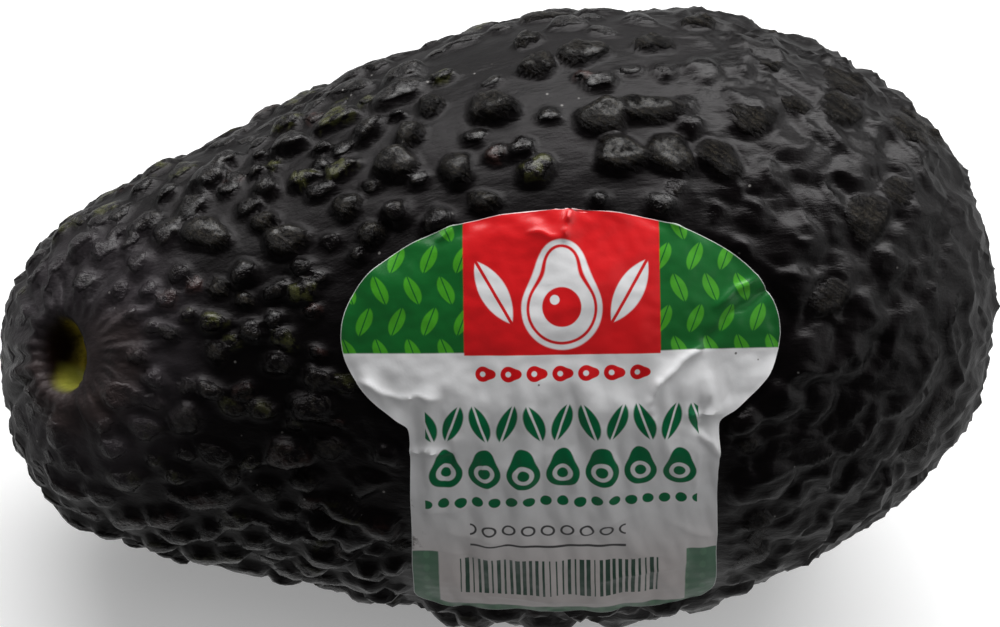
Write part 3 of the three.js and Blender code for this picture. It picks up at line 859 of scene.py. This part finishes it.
# Creases of the film, each from one place to another in its flat sheet: height and width of the fold
CREASES = (
    (0.9, 13.0, 0.2, 9.6, 0.55, 0.35),
    (0.2, 9.8, -3.6, 10.4, 0.3, 0.7),
    (22.6, 4.6, 17.4, 2.0, -0.6, 0.35),
    (17.6, 2.2, 14.4, -1.4, -0.5, 0.4),
    (20.4, 5.6, 15.6, 2.6, 0.4, 0.5),
    (14.6, -1.0, 9.6, -4.9, 0.55, 0.4),
    (9.8, -4.6, 8.5, -7.2, 0.5, 0.35),
    (8.5, -7.0, 9.2, -9.8, 0.35, 0.5),
    (15.0, -6.8, 13.6, -10.2, -0.55, 0.5),
    (13.6, -10.0, 16.2, -13.2, 0.45, 0.4),
    (16.2, -8.6, 12.2, -8.2, 0.35, 0.5),
    (-21.0, -4.4, -16.6, -6.2, 0.45, 0.5),
    (-16.8, -6.1, -12.6, -6.2, 0.4, 0.6),
    (-16.3, -12.1, -11.4, -12.0, 0.55, 0.4),
    (-11.4, -12.0, -12.4, -15.6, -0.4, 0.5),
    (-12.2, -7.0, -11.2, -11.6, 0.3, 0.8),
    (-8.6, -12.4, -7.6, -17.4, 0.3, 0.5),
    (-5.2, -12.6, -4.6, -17.8, 0.28, 0.5),
    (-3.4, -7.2, -4.0, -11.6, 0.25, 0.6),
    (0.6, -12.0, 1.2, -16.8, 0.26, 0.6),
    (5.2, -12.8, 4.4, -18.2, 0.26, 0.6),
    (13.8, -11.8, 13.4, -17.6, 0.3, 0.5),
    (-14.2, -19.6, -9.6, -18.8, 0.3, 0.5),
    (-12.6, -22.0, -6.0, -24.6, 0.25, 0.7),
    (6.8, -20.2, 1.0, -23.0, 0.25, 0.6),
    (-15.2, 7.6, -15.2, 1.0, 0.1, 0.2),
    (11.0, -21.6, 15.6, -24.0, 0.3, 0.6),
    (-13.4, -25.4, -3.0, -27.2, 0.22, 0.7),
    (3.0, -31.0, 13.0, -28.0, 0.25, 0.8),
    (-10.0, -34.6, 4.0, -36.4, 0.22, 0.8),
    (-9.8, 12.0, -12.6, 9.6, 0.35, 0.4),
    (9.4, 12.2, 12.4, 10.6, 0.3, 0.35),
)


def crease_height(u, v):
    """Ridges and dents of the film along its creases."""
    total = np.zeros_like(u)
    for au, av, bu, bv, height, width in CREASES:
        du, dv = bu - au, bv - av
        t = ((u - au) * du + (v - av) * dv) / (du * du + dv * dv)
        inside = np.clip(t, 0, 1)
        bend = 0.3 * np.sin(6 * inside + au)
        d = np.hypot(u - au - inside * du, v - av - inside * dv + bend * (1 - abs(2 * inside - 1)))
        taper = smoothstep(-0.15, 0.3, t) * smoothstep(1.15, 0.7, t)
        total += 1.35 * height * taper * np.exp(-d / width)
    return total


def flat_ripple(u, v, along, across, seed):
    """Soft noise over the flat sheet, in waves that long along u and v."""
    places = zip((u / along).ravel(), (v / across).ravel())
    return np.array([noise.noise(Vector((a, b, seed * 3.7))) for a, b in places]).reshape(u.shape)


def edge_distance(u, v):
    """How far a place lies from the cut edge of the label."""
    slope = abs(label_half_width(v + 0.05) - label_half_width(v - 0.05)) / 0.1
    across = (label_half_width(v) - abs(u)) / np.sqrt(1 + slope**2)
    return np.minimum(across, np.minimum(LABEL_TOP_HEIGHT - v, v - TAB_BOTTOM))


def film_height(u, v):
    """How high the film lies over the body: it bridges the lumps beneath and is creased."""
    tab = smoothstep(-1.5, -6, v)
    low = smoothstep(-14, -24, v)
    height = 0.6 + 0.5 * flat_ripple(u, v, 5.5, 5.0, 1) * (0.75 + 0.45 * tab - 0.8 * low)
    height += 0.6 * tab * (1 - 0.5 * low) * flat_ripple(u, v, 2.0, 9.0, 2)
    height += 0.07 * flat_ripple(u, v, 1.4, 1.2, 3)
    height += crease_height(u, v)
    curl = 0.12 * np.sin(1.1 * u + 0.7 * v) * smoothstep(1.6, 0, edge_distance(u, v))
    return np.clip(height + curl, 0.18, 1.6)


def near_box(u, v, middle, half, soft):
    """1 inside a box on the flat sheet, with its edges softened."""
    du = (abs(u - middle[0]) - half[0]).step(soft, -soft)
    return du * (abs(v - middle[1]) - half[1]).step(soft, -soft)


def far_from_middle(u, v):
    return (u**2 + v**2) ** 0.5


def pear(u, v, length):
    """How far a place lies outside a halved fruit that lies along u, in shares of its length."""
    x, y = u / length, v / length
    body = far_from_middle(x + 0.13, y) - 0.32
    neck = far_from_middle(x - 0.24, y) - 0.17
    k = 0.22
    h = (k - abs(body - neck)).most(0)
    return body.least(neck) - h * h * (0.25 / k)


def leaf(u, v, length, width):
    """1 on a leaf that stands along v, 0 beside it."""
    bend = (length * length - width * width) / (2 * width)
    outside = far_from_middle(abs(u) + bend, v) - (bend + width)
    return outside.step(PRINT_EDGE, -PRINT_EDGE)


def repeat(value, spacing):
    """The place within a row of copies, from minus half the spacing to half the spacing."""
    return (value / spacing + 0.5).math("FRACT") * spacing - spacing / 2


def green_field(m, s, u, v):
    """The field with its small leaves, which lean the other way from row to row."""
    across, down = LEAF_GRID
    odd = ((v / down).math("FLOOR") * 0.5).math("FRACT")
    lv = repeat(v - down / 2, down)
    lu = repeat(u + odd * across, across) + (odd * 1.6 - 0.4) * lv
    leaves = leaf(lu, lv, 1.42, 0.78) * abs(lu).step(0.03, 0.11)
    return m.blend(leaves * 0.9, tuple(s.leaf), tuple(s.lime))


def halved_fruit(u, v):
    """The mark on the panel: a halved fruit with its stone, and a leaf on either side."""
    u, v = u - MARK_MIDDLE[0], v - MARK_MIDDLE[1]
    outline = pear(v, u, MARK_HEIGHT)
    fruit = outline.step(0.008, -0.008)
    ring = abs(outline + 0.052).step(0.018, 0.006)
    stone = far_from_middle(u, v + 1.5).step(2.05, 1.9)
    glint = far_from_middle(u + 0.7, v + 0.8).step(0.55, 0.42)
    side = abs(u) - 6.9
    sprig = side * 0.85 - v * 0.5
    blade = leaf(sprig, side * 0.5 + v * 0.85, 3.6, 1.35) * abs(sprig).step(0.1, 0.22)
    return (fruit * (1 - ring) * (1 - stone * (1 - glint))).most(blade)


def small_row(u, v):
    """A row of small lying fruits, each with its stone left bare."""
    inside = near_box(u, v, (0, SMALL_ROW), (9.3, 1.6), 0.02)
    u, v = repeat(u, SMALL_SPACING), v - SMALL_ROW
    return inside * pear(u, v, 2.5).step(0.02, -0.02) * far_from_middle(u + 0.35, v).step(0.22, 0.34)


def leaf_row(u, v):
    """A row of leaves that sway to and fro, each with its vein left bare."""
    u, v = u + 0.2, v - LEAF_ROW
    inside = near_box(u, v, (0, 0), (14.0, 2.2), 0.02)
    sway = (u / LEAF_SPACING + 0.5).math("FLOOR").math("PINGPONG", 1) * 0.7 - 0.35
    lu = repeat(u, LEAF_SPACING) + sway * v
    return inside * leaf(lu, v, 2.0, 0.98) * abs(lu).step(0.07, 0.18)


def fruit_row(u, v):
    """A row of halved fruits that stand upright, with ringed stones."""
    u, v = u + 0.2, v - FRUIT_ROW
    inside = near_box(u, v, (0, -0.1), (14.0, 2.75), 0.02)
    u = repeat(u, FRUIT_SPACING)
    stone = far_from_middle(u, v + 0.66)
    bare = stone.step(1.12, 1.0) * (1 - stone.step(0.66, 0.54))
    return inside * pear(v, u, 5.3).step(0.012, -0.012) * (1 - bare)


def dot_row(u, v):
    inside = near_box(u, v, (-0.3, DOT_ROW), (14.0, 0.9), 0.02)
    return inside * far_from_middle(repeat(u + 0.2, DOT_SPACING), v - DOT_ROW).step(0.66, 0.56)


def ring_row(u, v):
    """A row of rings with the rule under it."""
    inside = near_box(u, v, (-1.8, RING_ROW), (8.0, 1.1), 0.02)
    off = far_from_middle(repeat(u + 1.8, RING_SPACING), v - RING_ROW) - 0.62
    return (inside * abs(off).step(0.16, 0.08)).most(near_box(u, v, (-1.8, RULE_ROW), (8.0, 0.17), 0.05))


def bar_block(m, u, v):
    """Bars whose thickness is drawn by chance."""
    inside = near_box(u, v, (-0.7, BAR_ROW), (10.3, 3.7), 0.06)
    cell = (u / BAR_CELL).math("FLOOR")
    drawn = m.node("ShaderNodeTexWhiteNoise", {"noise_dimensions": "1D"}, {"W": cell})["Value"]
    thick = drawn * 0.2 + 0.06
    return inside * (abs(repeat(u - BAR_CELL / 2, BAR_CELL)) - thick).step(0.03, -0.03)


def foot_blocks(u, v):
    """The blocks down both sides of the tab's lower half, and the strip along its foot."""
    beside = (abs(abs(u + 0.3) - 14.6) - 1.75).step(PRINT_EDGE, -PRINT_EDGE)
    return (beside * v.step(-25.6, -25.8)).most(v.step(-37.6, -37.9))


def printed(m, s, u, v, paint):
    """Lays the whole print over the bare film."""
    inked = leaf_row(u, v).most(fruit_row(u, v)).most(dot_row(u, v))
    paint = m.blend(inked, paint, tuple(s.ink))
    paint = m.blend(small_row(u, v), paint, tuple(s.red))
    paint = m.blend(ring_row(u, v) * 0.92, paint, BLACK_INK)
    paint = m.blend(bar_block(m, u, v) * 0.97, paint, BAR_INK)
    worn = m.blend(leaf(repeat(u, 1.8), repeat(v, 2.4), 0.8, 0.34) * 0.5, WORN_INK, WORN_LEAF)
    paint = m.blend(foot_blocks(u, v) * 0.9, paint, worn)
    on_field = v.step(FIELD_BOTTOM - PRINT_EDGE, FIELD_BOTTOM + PRINT_EDGE)
    paint = m.blend(on_field, paint, green_field(m, s, u, v))
    panel = near_box(u, v, PANEL_MIDDLE, PANEL_HALF, PRINT_EDGE) * v.step(-1.95, -1.8)
    return m.blend(panel, paint, m.blend(halved_fruit(u, v), tuple(s.red), tuple(s.film)))


def film_material(s):
    """The film: bare at first, with painted shade towards the foot of the tab, then printed, then smudged,
    with a painted light rim along its edge.
    """
    m = Shader("printed_film")
    sheet = m.node("ShaderNodeUVMap", {"uv_map": "flat"})["UV"]
    flat = m.node("ShaderNodeSeparateXYZ", {}, {0: sheet})
    u, v = flat["X"] * SHEET_SIZE - SHEET_LEFT, flat["Y"] * SHEET_SIZE - SHEET_BELOW
    where = m.place()
    scuff = m.noise(where, 900, 4, 0.7)
    bare = m.blend(scuff.step(0.35, 0.8), tuple(c * 0.97 for c in s.film), tuple(s.film))
    # Darker film towards the foot of the tab: painted shade, partly the dark skin showing through the thin
    # film
    bare = m.blend(v.step(-17, -31), bare, SHADED_LOWER_FILM)
    paint = printed(m, s, u, v, bare)
    smudge = (u + 15.6).step(1.5, 0.0) * v.step(-16.0, -17.0) * v.step(-27.0, -26.0)
    paint = m.blend(smudge * m.noise(where, 420, 4, 0.7).step(0.53, 0.64) * 0.7, paint, SMUDGE)
    dirt = m.cells(where, 330).step(0.055, 0.03) * m.noise(where, 60, 1).step(0.5, 0.6)
    paint = m.blend(dirt * 0.8, paint, DIRT)
    # Bare film colour along the cut edge: a painted highlight where the lifted edge catches the light
    paint = m.blend(m.attribute("edge").step(0.11, 0.04) * 0.7, paint, tuple(s.film))
    long_waves = m.node("ShaderNodeCombineXYZ", {}, {"X": u + 0.2 * v, "Y": v * 0.32})["Vector"]
    normal = m.bump(m.noise(long_waves, 0.3, 1, 0.5) * v.step(-2, -8), 0.002, 0.8)
    normal = m.bump(m.noise(where, 450, 3, 0.55), 0.00014, 0.5, normal)
    gloss = {
        "Roughness": 0.34 + 0.1 * (scuff - 0.5),
        "Specular IOR Level": 0.14,
        "Coat Weight": v.step(-6, -1) * 0.45,
        "Coat Roughness": 0.25,
    }
    return m.finish({"Base Color": paint, "Normal": normal, **gloss})


class AVOCADO_OT_label(bpy.types.Operator):
    """Model the creased film label that is stuck round the flank"""

    bl_idname = "avocado.label"
    bl_label = "Label"

    def execute(self, context):
        s = context.scene.avocado_label
        bpy.ops.object.select_all(action="DESELECT")
        bpy.ops.mesh.primitive_grid_add(x_subdivisions=s.columns, y_subdivisions=s.rows, size=2)
        label = context.object
        label.name = label.data.name = "film_label"
        u, v, order = self.cut_out(get_points(label.data), s)
        height = film_height(u, v)
        along, turn = label_to_skin(u, v)
        point, _, _, out = body_frame(along, turn)
        placed = np.empty((u.size, 3))
        placed[order] = to_room(point + out * height[..., None]).reshape(-1, 3)
        set_points(label.data, placed)
        self.keep_flat_places(label.data, u.ravel(), v.ravel(), order)
        edge = np.empty(u.size)
        edge[order] = edge_distance(u, v).ravel()
        set_mask(label.data, "edge", edge)
        label.data.materials.append(film_material(s))
        only(label)
        film = label.modifiers.new("film", "SOLIDIFY")
        film.thickness, film.offset = s.thickness, 1.0
        bpy.ops.object.modifier_apply(modifier=film.name)
        bpy.ops.object.shade_smooth_by_angle(angle=math.radians(50))
        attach(label, "root")
        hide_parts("label")
        return {"FINISHED"}

    @staticmethod
    def cut_out(square, s):
        """Gives the square grid the label's outline, as rows of u and v."""
        order = np.lexsort((square[:, 0], np.round(square[:, 1], 5)))
        across = square[order, 0].reshape(s.rows + 1, s.columns + 1)
        down = square[order, 1].reshape(across.shape)
        bottom, top = TAB_BOTTOM + 0.02, LABEL_TOP_HEIGHT - 0.03
        share = (down + 1) / 2
        share = 0.6 * share + 0.4 * np.sin(share * math.pi / 2)
        v = bottom + share * (top - bottom)
        return across * label_half_width(v), v, order

    @staticmethod
    def keep_flat_places(mesh, u, v, order):
        """Stores each point's place in the flat sheet, for the print."""
        flat = np.empty((len(mesh.vertices), 2))
        flat[order] = np.stack([u + SHEET_LEFT, v + SHEET_BELOW], axis=-1) / SHEET_SIZE
        corners = np.zeros(len(mesh.loops), np.int32)
        mesh.loops.foreach_get("vertex_index", corners)
        layer = mesh.uv_layers[0] if mesh.uv_layers else mesh.uv_layers.new()
        layer.name = "flat"
        layer.data.foreach_set("uv", flat[corners].astype(np.float32).ravel())


# The stage


class AvocadoStageSettings(bpy.types.PropertyGroup):
    floor_size: amount("Floor", "Side of the floor", 6.0, unit="LENGTH")
    floor: colour("Floor colour", "Colour of the floor", (0.82, 0.82, 0.82))
    floor_lift: amount("Floor lift", "Light of the floor's own, which softens the shadow", 0.25, min=0)
    sky: amount("Room light", "Brightness of the room round the stage", 0.2, min=0)
    key: amount("Window light", "Power of the large light behind and above", 16.0, min=0)
    glow: amount("Window shine", "Power of the light that only shines back from glossy skin", 19.5, min=0)
    floor_shine: amount("Floor shine", "Power of the floor's reflection in glossy skin", 1.1, min=0)
    side_shine: amount("Side shine", "Power of the light that shines back from the blossom end", 3.0, min=0)
    fill: amount("Ceiling light", "Power of the soft light overhead", 2.35, min=0)


def own_direction(turn, yaw=0.0):
    """A direction in the room for an angle round the fruit, counted up from the camera's side."""
    flat = np.array([math.sin(yaw), -math.cos(turn) * math.cos(yaw), math.sin(turn) * math.cos(yaw)])
    return Vector(LAY_DOWN @ flat)


def add_light(name, direction, distance, size, power):
    """An oblong area light that faces the middle of the fruit."""
    data = bpy.data.lights.new(name, "AREA")
    data.shape, data.size, data.size_y = "RECTANGLE", size[0], size[1]
    data.energy = power
    lamp = bpy.data.objects.new(name, data)
    bpy.context.scene.collection.objects.link(lamp)
    lamp.location = LIGHT_TARGET + direction * distance
    lamp.rotation_mode = "QUATERNION"
    lamp.rotation_quaternion = direction.to_track_quat("Z", "Y")
    return lamp


class AVOCADO_OT_stage(bpy.types.Operator):
    """Lay the pale floor and set the soft lights and the camera"""

    bl_idname = "avocado.stage"
    bl_label = "Stage"

    def execute(self, context):
        s = context.scene.avocado_stage
        bpy.ops.object.select_all(action="DESELECT")
        bpy.ops.mesh.primitive_plane_add(size=s.floor_size)
        floor = context.object
        floor.name = floor.data.name = "studio_floor"
        look = {"Base Color": (*s.floor, 1), "Roughness": 0.9, "Specular IOR Level": 0.1}
        lift = {"Emission Color": (1, 1, 1, 1), "Emission Strength": s.floor_lift}
        floor.data.materials.append(Shader("studio_floor").finish({**look, **lift}))
        floor.visible_diffuse = floor.visible_glossy = False
        self.add_lights(s)
        world = bpy.data.worlds.new("room")
        context.scene.world = world
        world.use_nodes = True
        world.node_tree.nodes["Background"].inputs["Color"].default_value = (1, 1, 1, 1)
        world.node_tree.nodes["Background"].inputs["Strength"].default_value = s.sky
        self.add_camera(context.scene)
        context.scene.view_settings.view_transform = "Standard"
        return {"FINISHED"}

    @staticmethod
    def add_lights(s):
        """A window and a ceiling light, and three lights that are seen only as shine."""
        add_light("window", own_direction(math.radians(74), 0.2), 0.9, (1.2, 0.6), s.key)
        glow = add_light("window_glow", own_direction(math.radians(78), 0.15), 0.9, (2.4, 0.7), s.glow)
        glow.visible_diffuse = False
        to_floor = LIGHT_TARGET.z - 0.001
        below = add_light("floor_shine", Vector((0, 0, -1)), to_floor, (1.4, 1.0), s.floor_shine)
        below.visible_diffuse = below.visible_camera = False
        side = add_light("side_shine", own_direction(0.35, 1.2), 0.9, (1.0, 0.8), s.side_shine)
        side.visible_diffuse = False
        ceiling = add_light("ceiling", own_direction(math.radians(13), 0.5), 1.1, (0.7, 0.7), s.fill)
        ceiling.visible_glossy = False

    @staticmethod
    def add_camera(scene):
        sy, cy = math.sin(CAMERA_YAW), math.cos(CAMERA_YAW)
        sr, cr = math.sin(CAMERA_ROLL), math.cos(CAMERA_ROLL)
        right = np.array([cy * cr, -sy * cr, -sr])
        up = np.array([cy * sr, -sy * sr, cr])
        back = np.array([-sy, -cy, 0.0])
        place = back * CAMERA_DISTANCE + right * CAMERA_ASIDE + up * CAMERA_RAISE
        data = bpy.data.cameras.new("camera")
        data.lens, data.clip_start, data.clip_end = LENS, 0.01, 50
        camera = bpy.data.objects.new("camera", data)
        scene.collection.objects.link(camera)
        turned = Matrix((LAY_DOWN @ right, LAY_DOWN @ up, LAY_DOWN @ back)).transposed()
        camera.matrix_world = Matrix.Translation(Vector(to_room(place))) @ turned.to_4x4()
        scene.camera = camera


class AVOCADO_PT_panel(bpy.types.Panel):
    """Lists the fruit, its label and the stage"""

    bl_idname = "AVOCADO_PT_panel"
    bl_label = "Avocado"
    bl_space_type = "VIEW_3D"
    bl_region_type = "UI"
    bl_category = "Avocado"

    def draw(self, context):
        for settings, operator in GROUPS.items():
            box = self.layout.box()
            for name in getattr(context.scene, settings).bl_rna.properties.keys():
                if name not in {"rna_type", "name"}:
                    box.prop(getattr(context.scene, settings), name)
            box.operator(operator)


GROUPS = {
    "avocado_stage": "avocado.stage",
    "avocado_skin": "avocado.skin",
    "avocado_label": "avocado.label",
}

CLASSES = (
    AvocadoSkinSettings,
    AvocadoLabelSettings,
    AvocadoStageSettings,
    AVOCADO_OT_skin,
    AVOCADO_OT_label,
    AVOCADO_OT_stage,
    AVOCADO_PT_panel,
)


def register():
    for cls in CLASSES:
        bpy.utils.register_class(cls)
    bpy.types.Scene.avocado_skin = PointerProperty(type=AvocadoSkinSettings)
    bpy.types.Scene.avocado_label = PointerProperty(type=AvocadoLabelSettings)
    bpy.types.Scene.avocado_stage = PointerProperty(type=AvocadoStageSettings)


def unregister():
    for settings in GROUPS:
        delattr(bpy.types.Scene, settings)
    for cls in reversed(CLASSES):
        bpy.utils.unregister_class(cls)


def main():
    register()
    bpy.ops.avocado.stage()
    bpy.ops.avocado.skin()
    bpy.ops.avocado.label()


if __name__ == "__main__":
    main()
